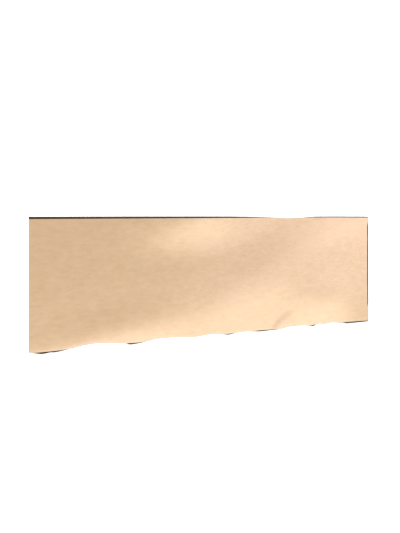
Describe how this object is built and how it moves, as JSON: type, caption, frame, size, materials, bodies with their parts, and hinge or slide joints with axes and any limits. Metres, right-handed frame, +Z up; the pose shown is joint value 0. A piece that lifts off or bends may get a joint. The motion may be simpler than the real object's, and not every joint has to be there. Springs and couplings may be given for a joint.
{
  "type": "copper foil tape strip",
  "caption": "Flat cut length of wide adhesive-backed copper foil tape for stained glass, face up on its paper release liner.",
  "frame": {"origin": "on the surface that the liner lies on, under the middle of the liner's outline", "axes": "+X along the tape, +Y across it, +Z up out of the copper face"},
  "size_m": [0.3052, 0.1042, 0.0043],
  "materials": {
    "kraft_liner": "matt dark brown kraft paper",
    "black_adhesive": "tacky black acrylic adhesive",
    "copper": "satin rolled copper with fine lengthwise grain"
  },
  "bodies": {
    "release_liner": {"release_liner": "kraft_liner"},
    "tape": {"adhesive_layer": "black_adhesive", "copper_foil": "copper"}
  },
  "joints": [
    {"name": "tape_lift", "type": "slide", "parent": "release_liner", "child": "tape", "axis": [0, 0, 1], "range_m": [0, 0.04]}
  ]
}
